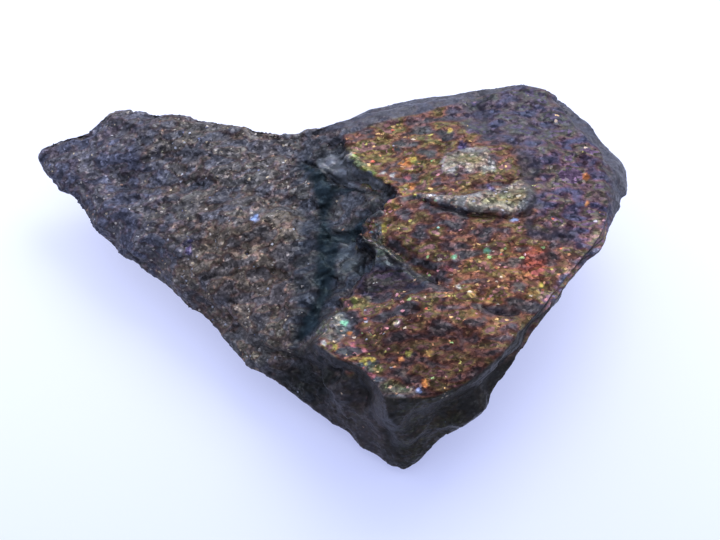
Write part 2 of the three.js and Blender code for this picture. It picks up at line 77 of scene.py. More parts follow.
# The looks that the stone wears. tint is its mean reflectance; grainy, rainbow and glint say how much the
# grains differ in tone, take the tarnish colours and show bright flecks, which are partly coloured grains
# and partly painted glints. What a look leaves out stays as it was.
LOOKS = {
    # The arm.
    "arm": dict(tint=(0.081, 0.071, 0.067), grainy=1, rainbow=0, glint=1),
    "rusty": dict(tint=(0.092, 0.067, 0.052), grainy=1, rainbow=0, glint=0.9),
    "steely": dict(tint=(0.07, 0.067, 0.067), grainy=1, rainbow=0, glint=1),
    "tip": dict(tint=(0.07, 0.066, 0.078), grainy=0.9, rainbow=0, glint=0.8),
    "pale": dict(tint=(0.11, 0.094, 0.074), grainy=1.1, rainbow=0, glint=1.5),
    "shade": dict(tint=(0.043, 0.036, 0.03), grainy=0.9, rainbow=0, glint=0.7),
    # The pit between the arm and the plate. Its floor and its depths are dark teal, partly by their own
    # colour and partly as painted shade; its wall is painted pale, as a face in light.
    "hollow": dict(tint=(0.03, 0.032, 0.035), grainy=0.8, rainbow=0, glint=0.3),
    "deep": dict(tint=(0.009, 0.017, 0.02), grainy=0.4, rainbow=0, glint=0),
    "lump": dict(tint=(0.07, 0.066, 0.064), grainy=0.9, rainbow=0, glint=0.5),
    "lit_wall": dict(tint=(0.13, 0.136, 0.138), grainy=0.3, rainbow=0, glint=0),
    "pale_patch": dict(tint=(0.058, 0.07, 0.072), grainy=0.25, rainbow=0, glint=0),
    # The sides. The bevel is painted lighter, as a face in light from above and behind; the fracture and the
    # flank are dark partly by their own colour and partly as painted shade.
    "lit_bevel": dict(tint=(0.05, 0.048, 0.054), grainy=0.5, rainbow=0, glint=0),
    "shaded_fracture": dict(tint=(0.0205, 0.0183, 0.0145), grainy=0.5, rainbow=0, glint=0),
    "shaded_flank": dict(tint=(0.013, 0.0135, 0.0115), grainy=0.8, rainbow=0, glint=0.3),
    "lilac_front": dict(tint=(0.043, 0.036, 0.032), grainy=0.6, rainbow=0.2, glint=0.1),
    "foot": dict(tint=(0.026, 0.023, 0.015), grainy=1, rainbow=0.3, glint=0.4),
    # The plate.
    "plate": dict(tint=(0.087, 0.0505, 0.034), grainy=0.85, rainbow=1, glint=0.9),
    "golden": dict(tint=(0.1, 0.064, 0.034), grainy=0.9, rainbow=1, glint=1.3),
    "amber": dict(tint=(0.106, 0.053, 0.027), grainy=0.85, rainbow=1, glint=1.1),
    "maroon": dict(tint=(0.042, 0.02, 0.0125), grainy=0.85, rainbow=1, glint=0.8),
    "dusk": dict(tint=(0.042, 0.041, 0.054), grainy=0.75, rainbow=0.6, glint=0.2),
    "blush": dict(tint=(0.061, 0.041, 0.047), grainy=0.9, rainbow=0.9, glint=0.5),
    # Dark slate-purple in front of the cleft, partly the ore's own colour and partly painted shade.
    "cleft_shade": dict(tint=(0.019, 0.017, 0.023), grainy=0.9, rainbow=0.5, glint=0.3),
    # Pink tarnish painted lighter as a lit edge, for the plate's rounded right edge.
    "edge": dict(tint=(0.19, 0.132, 0.12), grainy=0.9, rainbow=0.8, glint=1),
    "corner": dict(tint=(0.094, 0.096, 0.078), grainy=1.1, rainbow=0.3, glint=2.4),
    "dark": dict(tint=(0.024, 0.023, 0.03), grainy=0.5, rainbow=0.4, glint=0),
    "gold": dict(tint=(0.178, 0.156, 0.124), grainy=1.2, rainbow=0, glint=2),
    "olive": dict(tint=(0.112, 0.097, 0.042), grainy=1, rainbow=0.2, glint=1.5),
    "green": dict(tint=(0.14, 0.15, 0.055), grainy=1.1, rainbow=0.5, glint=2.6),
    # Bright grains along the crests: partly their own colour, partly painted highlight.
    "crest": dict(tint=(0.13, 0.077, 0.045), grainy=1.1, rainbow=1, glint=2.9),
    "ember": dict(tint=(0.145, 0.042, 0.025), grainy=1, rainbow=0.6, glint=1),
    "lively": dict(glint=1.8),
    "calm": dict(glint=0.5),
    # Single grains.
    "yolk": dict(tint=(0.3, 0.24, 0.05), grainy=1.2, rainbow=0, glint=0),
    "cream": dict(tint=(0.4, 0.35, 0.26), grainy=1.2, rainbow=0, glint=0),
    "orange": dict(tint=(0.32, 0.12, 0.035), grainy=1.2, rainbow=0, glint=0),
    "rose": dict(tint=(0.3, 0.11, 0.12), grainy=1.2, rainbow=0, glint=0),
    "mint": dict(tint=(0.16, 0.36, 0.22), grainy=0.7, rainbow=0, glint=0),
    "sky": dict(tint=(0.2, 0.25, 0.36), grainy=0.7, rainbow=0, glint=0),
    "violet": dict(tint=(0.06, 0.05, 0.1), grainy=1.2, rainbow=0, glint=0),
}

# Crusts that stand up from the plate: a patch, and a long band in front of it.
CRUST_PATCH = [
    (13.2, 9.2), (13.9, 10), (16.1, 10.7), (18.5, 10.8), (19.5, 8.5), (19.2, 7.3), (18.2, 6.9), (17.3, 7.7),
    (16.4, 7.3), (15.5, 7.8), (14.7, 6.8), (13.7, 6.5), (13.1, 7.4),
]
CRUST_BAND = [
    (10.7, 4.6), (12.8, 4), (14.9, 3.7), (16.9, 4.2), (18.7, 5), (20.3, 5.4), (22, 6.4), (23.2, 6.2),
    (23.6, 5), (23.6, 3.4), (22.6, 2.4), (20.6, 1.8), (18.6, 2), (16.1, 2), (13.6, 2.6), (11.4, 3.7),
]

# Where the looks lie: an outline, how softly it ends, and how much of the look shows.
ARM_AREAS = [
    # The arm's face and its front.
    ("tip", [(-22, 20), (-19, 0), (-20, -6), (-50, -6), (-50, 20)], 6, 0.9),
    ("pale", [(-17, -1), (-9, 5.5), (-2.5, 6), (-2.5, -2), (-9, -3.5)], 2.5, 0.7),
    ("pale", [(-11, -7.5), (-5, -7), (-3, -10.5), (-9, -12)], 2, 0.9),
    ("rusty", [(-15, 3), (-3, 4), (-3, -8), (-8, -9), (-14, -4)], 3, 0.6),
    ("shade", [(-14, -13), (-9, -13), (-3.4, -11.8), (1.7, -15.4), (4, -18.5), (6, -26), (-14, -26)],
     2, 0.8),
    # The steep flank below the plate's front edge: dark fracture colour, deepened as painted shade.
    ("shaded_flank", [(-3.6, -10.8), (1.2, -14.3), (4.6, -16.5), (7.5, -19.5), (8, -26), (-1, -26), (-4.6, -17),
               (-5.4, -14.6)], 1.6, 0.95),
    # The pit beside the plate: its floor and its depths, dark partly by their own colour and partly as
    # painted shade, the lumps in it, and its wall, painted pale as a face in light.
    ("hollow", [(-3, 13), (2, 13), (9, 5), (6, -1), (13, -7), (8, -8), (3, -6), (0, -9.5), (-3.2, -11.5),
                (-4.2, -6.6), (-4.2, -1.4), (-3.2, 3), (-2.4, 6), (-3.4, 9)], 1.8, 0.95),
    ("lump", [(-3, 9.6), (-0.3, 8.8), (0.9, 7.4), (0.4, 5.2), (-1.4, 4.6), (-3.4, 6)], 0.7, 0.9),
    ("lump", [(1, 6.3), (2.7, 6.8), (5.3, 6.6), (6.2, 5.4), (4.1, 3.6), (2.2, 2.2), (0.8, 2.6), (0.2, 4.4)],
     0.7, 0.8),
    # The pit's depths: dark teal, partly their own colour and partly painted shade.
    ("deep", [(-2.6, 10.8), (-1.2, 10.4), (1, 8), (4.6, 6.9), (1.2, 7), (0.2, 4.4), (0.8, 2.4), (2.2, 1.9),
              (4.6, 3.2), (4.8, 2), (3, 0.6), (1.8, 0.8), (1.2, -1.9), (0.8, -4.8), (-0.1, -6.9),
              (-1.6, -10.4), (-3, -11), (-2.2, -8), (-1, -4.8), (-1.2, 0.3), (-0.9, 3.4), (-1.2, 7)],
     0.9, 0.95),
    # The wall, painted pale as a face in light.
    ("lit_wall", [(-1.2, 11), (0.4, 11.6), (2.6, 11.4), (4.4, 9.4), (6, 7.8), (9, 5.6), (6.4, 5.8), (3.4, 7.4),
              (1.4, 8.5), (-0.6, 9.9)], 0.4, 0.95),
    ("lump", [(-3.6, 14.6), (0, 14.4), (0.4, 12.2), (-3.4, 12)], 1, 0.6),
    # A paler teal patch on the pit's floor.
    ("pale_patch", [(1.5, 1.4), (3.2, 0.6), (3.6, -1.6), (6.4, -3.4), (4.6, -4.2), (1.6, -3.6)], 1, 0.6),
]
SIDE_AREAS = [
    # Lighter lilac-brown over the front-left side, and brown at the front-right foot.
    ("lilac_front", [(-9, -14.5), (-4, -15.5), (-1, -15.8), (2.4, -16.6), (4.8, -17.6), (6.6, -19.4), (7, -26),
               (-12, -26)], 1.2, 0.85),
    ("foot", [(8, -19.6), (15, -18.6), (16, -24), (8, -24)], 1, 0.8),
]
PLATE_AREAS = [
    # Broad drifts of tarnish.
    ("dusk", [(13, 21), (15.5, 14), (19, 12), (22, 11), (24, 8), (23, 3), (33, -1), (35, 12),
              (27, 22)], 2, 0.85),
    ("blush", [(24, 10.5), (27, 13.5), (33, 13), (34, 1), (28, -2.5), (24.5, 1)], 3, 0.85),
    # The plate's rounded right edge: its own pink tarnish, painted lighter as a lit edge.
    ("edge", [(24, -8), (24.5, -10), (27.5, -9), (34, -2), (34, 3), (31.3, 2.5), (28.6, -3)], 1, 0.8),
    ("golden", [(3, 8), (2.4, 12.5), (9, 14.5), (13.5, 12.5), (12, 6), (8, 5.6)], 2, 0.6),
    ("golden", [(4.2, 1.2), (6.6, 3.9), (8.2, 5.2), (9.6, 4.6), (7.6, 2.4), (5.4, 0.6)], 0.8, 0.9),
    ("maroon", [(3, -12.5), (5, -20), (8, -22), (14, -22), (20, -16), (16, -11), (9, -10)], 2.5, 0.95),
    ("amber", [(16.3, -2.1), (21.9, -0.8), (26.3, -3.7), (22.7, -8.6), (17.5, -12), (13.5, -7)], 2.5, 0.7),
    ("lively", [(0.6, -12), (2.2, -7.2), (8.4, -6.9), (12.9, -3.3), (19.7, -1.2), (24.7, -3.3), (23.9, -8.2),
                (16.1, -8.2), (8.3, -12), (3.9, -14.5)], 2, 1),
    ("calm", [(8.3, -13.3), (17.1, -12.1), (18.1, -17), (8.2, -20.1)], 2, 1),
    # Along the broken edge and the front edge.
    ("corner", [(4.6, 1.9), (5.9, 2.4), (6.5, 1.2), (6.5, -0.9), (7.9, -2.2), (9.7, -3.8), (12.4, -5.8),
                (11, -6.4), (8.8, -4.8), (7, -3.8), (5.2, -3.6), (2, -1)], 0.5, 0.95),
    # In front of the cleft: dark slate-purple, partly the ore's own colour and partly painted shade.
    ("cleft_shade", [(3, -4.5), (5.2, -2.9), (7.5, -3.5), (9.7, -5.3), (11.1, -6.8), (9.7, -7.3), (6.1, -7.1),
               (2.4, -6.8)], 1, 0.9),
    ("corner", [(-3.2, -11.8), (-1.4, -9.6), (0.9, -8.2), (2.4, -8.8), (2.8, -11.2), (1.8, -12.8),
                (0, -13.2)], 0.8, 0.9),
    ("corner", [(4.2, -17.6), (6.5, -18.2), (9.8, -18.9), (10.4, -20.6), (6.5, -20.8)], 1, 0.6),
    # The beak's crest: bright grains, partly their own colour and partly painted highlight.
    ("crest", [(3.3, -0.2), (3.8, 1.1), (5.1, 2), (8.1, 4.9), (4.9, 7.1), (2.9, 8.7), (4, 9.2), (6.4, 7.6),
               (9.8, 5.6), (8.3, 3.4), (6, 1.2), (5, -0.4)], 0.7, 0.9),
    # The crusts, and small patches of their own colour, with a crest that is partly painted highlight.
    ("gold", CRUST_PATCH, 0.5, 0.9),
    ("olive", [(14.4, 8.4), (15, 9.9), (17.4, 9.7), (18.2, 8.6), (16.4, 8.1)], 0.8, 0.8),
    ("gold", CRUST_BAND, 0.5, 0.95),
    ("olive", [(17.8, 3), (19.5, 4.6), (22.6, 5.8), (23.2, 4.4), (21.5, 2.8)], 0.8, 0.8),
    ("green", [(2.2, 10.8), (3.2, 8.8), (5.2, 7.2), (5.9, 7.9), (4.2, 9.4), (3, 11)], 0.4, 0.85),
    # The front crest: bright grains, partly their own colour and partly painted highlight.
    ("crest", [(-2.8, -11.8), (-0.5, -13), (1.2, -14.3), (3, -15.4), (4.6, -16.6), (5.3, -16),
               (3.4, -14.5), (1.6, -13.2), (-0.2, -11.9), (-2.2, -10.8)], 0.4, 0.85),
    ("ember", [(21.6, -5.6), (24.4, -5.8), (25, -3.2), (24.4, -1.4), (22, -2.2)], 1, 0.85),
    ("green", [(4.8, -16), (6.3, -16.1), (6.4, -17), (5, -17)], 0.4, 0.5),
    ("green", [(3.1, -7.3), (4.8, -7.4), (4.9, -8.5), (3.3, -8.6)], 0.5, 0.6),
    # Dark streaks to the right of the crusts and behind them; in the cleft and at the crack in front the
    # dark is painted shade.
    ("dark", [(21.4, 11.4), (24.6, 9), (23.8, 5), (23.2, 0.6), (28.5, 0.4), (27, -1), (22.5, -0.6),
              (22.6, 4), (22.2, 7)], 1, 0.8),
    ("dark", [(17.4, 18.5), (18.6, 18.5), (19, 12.8), (18, 12.6)], 1, 0.7),
    # In the cleft and at the crack in front: painted shade.
    ("dark", [(7, -2), (9, -3.3), (12.8, -6), (12.2, -6.8), (9, -4.9), (6.8, -3.2)], 0.6, 0.6),
    ("dark", [(17.6, -9), (21.4, -9.8), (21, -10.6), (17.8, -10)], 0.8, 0.8),
]

# Single grains of their own colour: the look of each, its place and its radius.
SPOTS = [
    ("orange", (9.1, 8.9), 0.8), ("yolk", (9.9, 9.3), 0.4), ("yolk", (14.3, 13.2), 0.4),
    ("cream", (2.8, 10.6), 0.4), ("cream", (6.3, 7.5), 0.45), ("cream", (7.6, 7.1), 0.4),
    ("rose", (9.3, 6.8), 0.45), ("orange", (9.8, 5.6), 0.35), ("yolk", (10.1, 4.5), 0.3),
    ("rose", (7.2, 3.8), 0.4), ("yolk", (6.7, 0.3), 0.35), ("yolk", (6.6, 0.9), 0.3),
    ("violet", (15.6, 11), 0.6), ("violet", (18.9, 4.9), 0.7), ("sky", (21.3, 1.3), 0.4),
    ("orange", (29.8, 7.8), 0.4), ("orange", (29.8, 3.9), 0.4), ("mint", (18.2, -2.4), 0.4),
    ("mint", (14.4, -3.3), 0.3), ("rose", (13.8, -4.8), 0.4), ("cream", (14.9, -6.9), 0.35),
    ("yolk", (24.1, -6.2), 0.35), ("cream", (1.4, -9.4), 0.5), ("mint", (2.1, -10.1), 0.4),
    ("orange", (2.8, -11.6), 0.45), ("rose", (3, -13), 0.5), ("rose", (4.3, -14), 0.35),
    ("cream", (-0.1, -12.8), 0.3), ("yolk", (1.2, -13.3), 0.4), ("yolk", (4.4, -15.4), 0.5),
    ("yolk", (5.2, -15.3), 0.5), ("cream", (8.1, -11.1), 0.45), ("yolk", (9.2, -15.1), 0.4),
    ("orange", (8.4, -15.6), 0.35), ("amber", (11.3, -15.1), 0.6), ("amber", (8.9, -17.2), 0.5),
    ("rose", (5.1, -17.5), 0.45), ("orange", (11, -18.7), 0.45), ("sky", (10.2, -19.3), 0.35),
    # On the arm: a pale blue grain that is partly a painted glint, and a violet grain.
    ("sky", (-8.1, 3.7), 0.5), ("violet", (-15.7, 1.2), 0.7),
]

# Sharp cracks: the line of each, its depth and its half width.
CRACKS = [
    ([(3.9, 0.8), (5.5, -1.5), (6.6, -2.1), (7.7, -3.4), (9.1, -3.9), (9.9, -5), (11.3, -5.3), (12.4, -6.2)],
     0.2, 0.35),
    ([(10.5, 4), (11.8, 2.9), (13.4, 2.3), (16.1, 1.7), (18.6, 1.6), (20.6, 1.3), (23.2, 2.2)], 0.35, 0.3),
    ([(-2.6, 11.3), (-0.2, 9.8), (2.1, 8.4), (4.6, 7), (7.2, 5.6)], 0.3, 0.3),
    ([(-14.1, -2.4), (-11.2, -2.3), (-9.8, -2)], 0.3, 0.3),
    ([(-8.1, -3.8), (-5.8, -3.5), (-4.5, -3)], 0.3, 0.3),
    ([(-9, 1), (-7.5, 1.5)], 0.25, 0.25),
    ([(-9.2, -0.4), (-7.6, 0)], 0.25, 0.25),
    ([(-13.6, 5.9), (-11.8, 6.5)], 0.25, 0.3),
    ([(17.6, -9.2), (19.2, -10), (21.4, -9.7)], 0.4, 0.4),
]

# ---------------------------------------------------------------- fields over the stone


def cell_random(cells, salt):
    """Numbers from 0 to 1 that look random and are always the same for one cell of space and one salt."""
    wave = np.sin(cells @ np.array([12.9898, 78.233, 37.719]) + 4.1414 * salt) * 43758.5453
    return wave - np.floor(wave)


def blend(x, low, high):
    """0 below low, 1 above high and a smooth step between them."""
    t = np.clip((x - low) / (high - low), 0, 1)
    return t * t * (3 - 2 * t)


def soft_waves(places, salt=7):
    """Rolling waves from -1 to 1, one cell long."""
    corner = np.floor(places)
    t = places - corner
    t = t * t * (3 - 2 * t)
    total = np.zeros(len(places))
    for step in np.ndindex(2, 2, 2):
        share = np.prod(np.where(np.array(step) == 1, t, 1 - t), axis=1)
        total += share * (2 * cell_random(corner + step, salt) - 1)
    return total


def flat_grains(places):
    """Cells about scattered seeds, each a plane of its own tilt and height, from about -1 to 1."""
    corner = np.floor(places)
    nearest = np.full(len(places), np.inf)
    height = np.zeros(len(places))
    for step in np.ndindex(3, 3, 3):
        cell = corner + np.array(step) - 1
        seed = cell + np.stack([cell_random(cell, salt) for salt in (1, 2, 3)], axis=1)
        tilt = np.stack([2 * cell_random(cell, salt) - 1 for salt in (4, 5, 6)], axis=1)
        away = places - seed
        distance = np.linalg.norm(away, axis=1)
        closer = distance < nearest
        nearest = np.where(closer, distance, nearest)
        height = np.where(closer, np.sum(tilt * away, axis=1) + 0.5 * tilt[:, 0], height)
    return height


def along_bedding(points, length, width, turn=ARM_TURN):
    """Points in the bedding's own cells, length along it and width across it."""
    x, y, z = points.T
    along = x * cos(turn) + y * sin(turn)
    across = y * cos(turn) - x * sin(turn)
    return np.stack([along / length, across / width, z / width], axis=1)


def streaks(points, length, width, salt, turn=ARM_TURN):
    """Waves along the bedding with finer ones on them."""
    fine = soft_waves(along_bedding(points, 0.45 * length, 0.5 * width, turn), salt + 0.5)
    return soft_waves(along_bedding(points, length, width, turn), salt) + 0.6 * fine


def distance_to(line, plan):
    """Distance in plan from a line through the given corners."""
    nearest = np.full(len(plan), np.inf)
    for start, end in zip(np.array(line[:-1], float), np.array(line[1:], float)):
        run = end - start
        share = np.clip((plan - start) @ run / (run @ run), 0, 1)
        nearest = np.minimum(nearest, np.linalg.norm(plan - start - share[:, None] * run, axis=1))
    return nearest


def depth_inside(outline, plan):
    """How far in from an outline a point lies, negative outside it."""
    inside = np.zeros(len(plan), bool)
    x, y = plan.T
    closed = list(outline) + [outline[0]]
    for (x0, y0), (x1, y1) in zip(closed[:-1], closed[1:]):
        if y0 != y1:
            inside ^= ((y0 > y) != (y1 > y)) & (x < (x1 - x0) * (y - y0) / (y1 - y0) + x0)
    return np.where(inside, 1, -1) * distance_to(closed, plan)


# ---------------------------------------------------------------- the stone's looks

LOOKS_UP = (0.35, 0.65)  # rise of the normal at which a side begins to be a top, and is one
CRACK_SHADE = 0.4  # how much painted shade darkens a crack beside the ore round it


class Looks:
    """The look of each point of the stone, painted on area by area."""

    def __init__(self, count):
        self.fields = {name: np.zeros(count) for name in ("grainy", "rainbow", "glint")}
        self.fields["tint"] = np.zeros((count, 3))

    def paint(self, look, share):
        """Lays a look over what is there already, by each point's share of it."""
        for name, value in LOOKS[look].items():
            field = self.fields[name]
            part = share[:, None] if field.ndim == 2 else share
            self.fields[name] = field * (1 - part) + np.array(value) * part

    def paint_areas(self, areas, zone, plan, wobble):
        """Paints the looks inside their outlines, as far as the points belong to a zone."""
        for look, outline, softness, amount in areas:
            depth = depth_inside(outline, plan) + 0.5 * wobble * softness
            self.paint(look, zone * amount * blend(depth, -softness / 2, softness / 2))


def paint_looks(points, normals, zones):
    """The look of every point, laid on from the arm's ore up to the single grains."""
    plan = points[:, :2] + PLAN_CENTRE
    rim, plate = zones["rim"], zones["plate"]
    whole = np.ones(len(points))
    wobble = streaks(points, 1.4, 0.9, 14)
    looks = Looks(len(points))

    looks.paint("arm", whole)
    patches = streaks(points, 3, 1.5, 8)
    looks.paint("rusty", 0.7 * blend(patches, 0.1, 0.9))
    looks.paint("steely", 0.7 * blend(-patches, 0.1, 0.9))
    looks.paint_areas(ARM_AREAS, whole, plan, wobble)

    # Round the top the rim is painted lighter, as a bevel in light from above and behind; below that, where
    # the sides turn down and to the front, and all along the front it is dark fracture, partly its own
    # colour and partly painted shade.
    looks.paint("lit_bevel", rim)
    steep = blend(-normals[:, 2] - 0.25 * normals[:, 1], -0.25, 0.1)
    in_front = blend(-plan[:, 1], -4, 8)
    looks.paint("shaded_fracture", rim * np.maximum(steep, in_front))
    looks.paint_areas(SIDE_AREAS, whole, plan, wobble)

    looks.paint("plate", plate)
    patches = streaks(points, 2.6, 1.6, 10, PLATE_TURN)
    looks.paint("golden", plate * 0.35 * blend(patches, 0.45, 1.1))
    looks.paint("maroon", plate * 0.5 * blend(-patches, 0.2, 0.9))
    looks.paint_areas(PLATE_AREAS, plate, plan, wobble)

    # Single grains with ragged outlines, on tops alone so that none smears down a side.
    ragged = soft_waves(along_bedding(points, 0.5, 0.35), 18)
    for look, place, radius in SPOTS:
        away = np.linalg.norm(plan - place, axis=1) / radius + 0.7 * ragged
        looks.paint(look, (1 - blend(away, 0.5, 1.1)) * blend(normals[:, 2], *LOOKS_UP))
    return looks


def tone_with_painted_shading(points, plate, relief, crack):
    """How light each point is beside its look: banded along the bedding, with painted light on the raised
    grains and painted shade in their hollows and in the cracks.
    """
    bands = 1 + (1 - plate) * 0.15 * streaks(points, 9, 1.3, 12)
    bands += plate * 0.12 * streaks(points, 2.4, 1.5, 16, PLATE_TURN)
    return bands * (1 + 0.45 * np.clip(relief, -0.4, 0.4)) * (1 - (1 - CRACK_SHADE) * crack)


# ---------------------------------------------------------------- the stone's mesh

TOP_EDGE, UNDER_EDGE = 0.35, 0.75  # longest edges on the faces that look up or sideways, and on the others
LOOKS_DOWN = -0.1  # a normal that rises no more than this looks down
MOST_CUTS = 6  # rounds of halving
EASINGS = 4  # how often the coarse facets are smoothed once they are cut fine

# Each zone's grain: the turn of its bedding, then length, width and height of each size of grain.
GRAIN = {
    "arm": (ARM_TURN, [(2.8, 1.5, 0.24), (1.2, 0.8, 0.12), (0.6, 0.45, 0.06)]),
    "plate": (PLATE_TURN, [(2.8, 1.8, 0.14), (1.2, 0.8, 0.09), (0.6, 0.45, 0.05)]),
    "rim": (ARM_TURN, [(2.4, 1.7, 0.08), (1, 0.8, 0.04)]),
}
CRUST_RISE = 0.2  # how far the crusts stand up from the plate
LIP, LIP_ENDS = 0.35, (0.3, 1.6)  # how far the broken edge stands up, and how far from it that fades out

PLATE_FOOT = (11.4, 12.2)  # the ledges below this height aren't the plate's
ROUNDED = (14, 24)  # between these, towards +X, the plate's sharp edge turns into one that rounds off
OVER_THE_EDGE = (1, 1.6)  # the arm's grain runs on past the broken edge by about this much


def cut_long_edges(stone):
    """Halves edges until none is longer than its side of the stone allows."""
    for _ in range(MOST_CUTS):
        long_edges = []
        for edge in stone.edges:
            looks_down = max(vertex.normal.z for vertex in edge.verts) <= LOOKS_DOWN
            if edge.calc_length() > (UNDER_EDGE if looks_down else TOP_EDGE) * MM:
                long_edges.append(edge)
        if not long_edges:
            break
        bmesh.ops.subdivide_edges(stone, edges=long_edges, cuts=1)
        bmesh.ops.triangulate(stone, faces=[face for face in stone.faces if len(face.verts) > 3])
        stone.normal_update()


def take_stone():
    """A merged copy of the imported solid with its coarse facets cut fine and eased."""
    stone = bmesh.new()
    stone.from_mesh(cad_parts["ore_chunk"].data)
    bmesh.ops.remove_doubles(stone, verts=stone.verts, dist=0.001 * MM)
    stone.normal_update()
    cut_long_edges(stone)
    for _ in range(EASINGS):
        bmesh.ops.smooth_vert(
            stone, verts=stone.verts, factor=0.5, use_axis_x=True, use_axis_y=True, use_axis_z=True)
    stone.normal_update()
    return stone


def share_zones(points, normals, plan, up, from_break, wobble):
    """How much of each point belongs to the arm's face, to the plate's and to the rim round them."""
    soft = 0.2 + 0.8 * blend(plan[:, 0], *ROUNDED)
    plate = blend(depth_inside(PLATE_FACE, plan) + (0.1 + 0.5 * soft) * wobble, -soft, soft)
    plate *= blend(normals[:, 2], *LOOKS_UP) * blend(points[:, 2], *PLATE_FOOT)
    edge = 0.4 + 2 * (1 - up)  # down the sides the arm gives way to the fracture face bit by bit
    arm = blend(depth_inside(ARM_FACE, plan) + edge * wobble, -edge, edge)
    arm = np.maximum(arm, 1 - blend(from_break, *OVER_THE_EDGE)) * (1 - plate)
    arm *= blend(normals[:, 2] + 0.2 * wobble, -0.5, -0.1)
    return {"arm": arm, "plate": plate, "rim": 1 - np.clip(arm + plate, 0, 1)}


def raise_relief(points, plan, zones, wobble):
    """How far the grain and the crusts stand out from the stone."""
    relief = np.zeros(len(points))
    for zone, (turn, sizes) in GRAIN.items():
        relief += zones[zone] * sum(
            height * flat_grains(along_bedding(points, length, width, turn))
            for length, width, height in sizes)
    for crust in (CRUST_PATCH, CRUST_BAND):
        rise = CRUST_RISE * blend(depth_inside(crust, plan) + 0.1 * wobble, -0.1, 0.25)
        relief += zones["plate"] * rise
    return relief


def open_cracks(plan, wobble):
    """How near each point is to the middle of a crack, 1 in the middle, and how deep it is cut."""
    crack = np.zeros(len(plan))
    cut = np.zeros(len(plan))
    for line, depth, width in CRACKS:
        near = 1 - blend(distance_to(line, plan) + 0.12 * wobble, 0, width)
        crack = np.maximum(crack, near)
        cut = np.maximum(cut, depth * near)
    return crack, cut


def add_object(name, data):
    """Puts a new object into the scene."""
    item = bpy.data.objects.new(name, data)
    bpy.context.scene.collection.objects.link(item)
    return item


def carry(mesh, fields):
    """Gives a mesh's points the values that the material reads."""
    for name, field in fields.items():
        kind, value = ("FLOAT_VECTOR", "vector") if field.ndim == 2 else ("FLOAT", "value")
        attribute = mesh.attributes.new(name, kind, "POINT")
        attribute.data.foreach_set(value, field.astype(np.float32).ravel())


def make_stone():
    stone = take_stone()
    points = np.array([vertex.co for vertex in stone.verts]) / MM
    normals = np.array([vertex.normal for vertex in stone.verts])
    plan = points[:, :2] + PLAN_CENTRE
    up = blend(normals[:, 2], 0, 0.3)
    wobble = soft_waves(along_bedding(points, 2.5, 1.6))  # keeps borders from running straight
    from_break = distance_to(BROKEN_EDGE, plan)

    zones = share_zones(points, normals, plan, up, from_break, wobble)
    relief = raise_relief(points, plan, zones, wobble)
    crack, cut = open_cracks(plan, wobble)
    looks = paint_looks(points, normals, zones)
    # Painted light on the raised grains, painted shade in their hollows and in the cracks.
    looks.fields["tint"] *= tone_with_painted_shading(points, zones["plate"], relief, crack * up)[:, None]

    moved = points + (relief - cut * up)[:, None] * normals
    lip = zones["plate"] * LIP * (1 - blend(from_break, *LIP_ENDS))
    moved[:, 2] = np.maximum(moved[:, 2] + lip, 0)
    for vertex, place in zip(stone.verts, moved):
        vertex.co = Vector(place * MM)
    stone.normal_update()

    mesh = bpy.data.meshes.new("tarnished_ore_chunk")
    stone.to_mesh(mesh)
    stone.free()
    mesh.shade_smooth()
    carry(mesh, {"plate": zones["plate"], **looks.fields})
    return add_object("tarnished_ore_chunk", mesh)


# ---------------------------------------------------------------- nodes


class Value:
    """One output of a node. Arithmetic on it adds the Math nodes that work it out."""

    def __init__(self, shader, socket):
        self.shader = shader
        self.socket = socket

    def math(self, operation, *values):
        return self.shader.node("ShaderNodeMath", {"operation": operation}, dict(enumerate(values)))["Value"]

    def __add__(self, other):
        return self.math("ADD", self, other)

    def __sub__(self, other):
        return self.math("SUBTRACT", self, other)

    def __mul__(self, other):
        return self.math("MULTIPLY", self, other)

    def __truediv__(self, other):
        return self.math("DIVIDE", self, other)

    def __gt__(self, other):
        return self.math("GREATER_THAN", self, other)

    def __radd__(self, other):
        return self.math("ADD", other, self)

    def __rsub__(self, other):
        return self.math("SUBTRACT", other, self)

    def __rmul__(self, other):
        return self.math("MULTIPLY", other, self)


